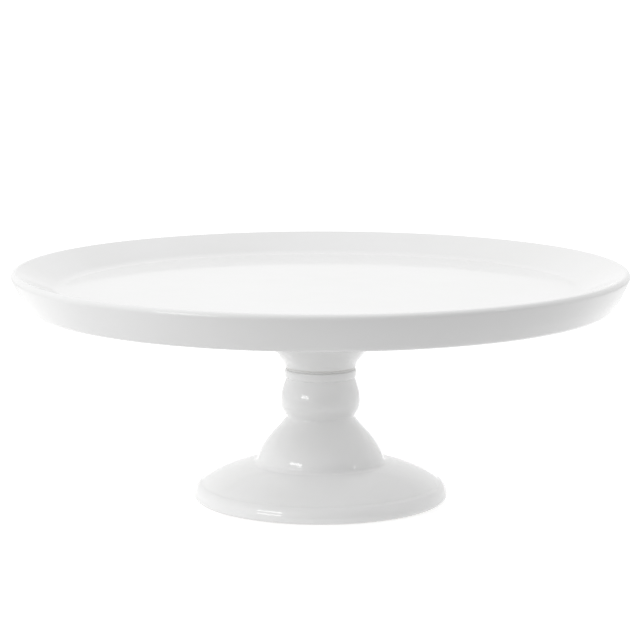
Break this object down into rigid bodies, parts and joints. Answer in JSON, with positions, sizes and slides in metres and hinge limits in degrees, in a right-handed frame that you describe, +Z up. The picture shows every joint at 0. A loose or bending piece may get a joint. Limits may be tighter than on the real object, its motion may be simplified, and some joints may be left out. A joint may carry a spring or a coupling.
{
  "type": "cake stand",
  "caption": "Round white porcelain cake stand: a shallow rimmed plate clamped on a turned pedestal by a hidden stud and wing nut.",
  "frame": {"origin": "centre of the foot at table level, on the stem's axis", "axes": "+Z up along the stem; the stand is round, so +X is free: it runs along the wing nut's wings at rest"},
  "size_m": [0.3174, 0.3174, 0.1206],
  "materials": {
    "plate_glaze": "gloss",
    "pedestal_glaze": "gloss",
    "grey_epoxy": "matte",
    "insert_brass": "machined",
    "threaded_steel": "zinc plated",
    "clear_silicone": "translucent matte",
    "white_nylon": "satin",
    "black_rubber": "matte",
    "zinc_plated_steel": "zinc plated",
    "spring_steel": "satin",
    "nickel_plated_zinc": "nickel plated casting"
  },
  "bodies": {
    "stand": {"plate": "plate_glaze", "insert_cement": "grey_epoxy", "threaded_insert": "insert_brass", "stud": "threaded_steel", "seat_gasket": "clear_silicone", "pedestal": "pedestal_glaze", "centring_bush": "white_nylon"},
    "washer_stack": {"rubber_washer": "black_rubber", "steel_washer": "zinc_plated_steel", "spring_washer": "spring_steel"},
    "wing_nut": {"wing_nut": "nickel_plated_zinc"}
  },
  "joints": [
    {"name": "washer_drop", "type": "slide", "parent": "stand", "child": "washer_stack", "axis": [0, 0, 1], "range_m": [-0.01, 0]},
    {"name": "wing_nut_turn", "type": "hinge", "parent": "washer_stack", "child": "wing_nut", "pos_m": [0, 0, 0.03], "axis": [0, 0, 1], "range_deg": [-3600, 0]}
  ],
  "couplings": [
    {"joint": "washer_drop", "follows": "wing_nut_turn", "m_per_rad": 0.00015915}
  ]
}
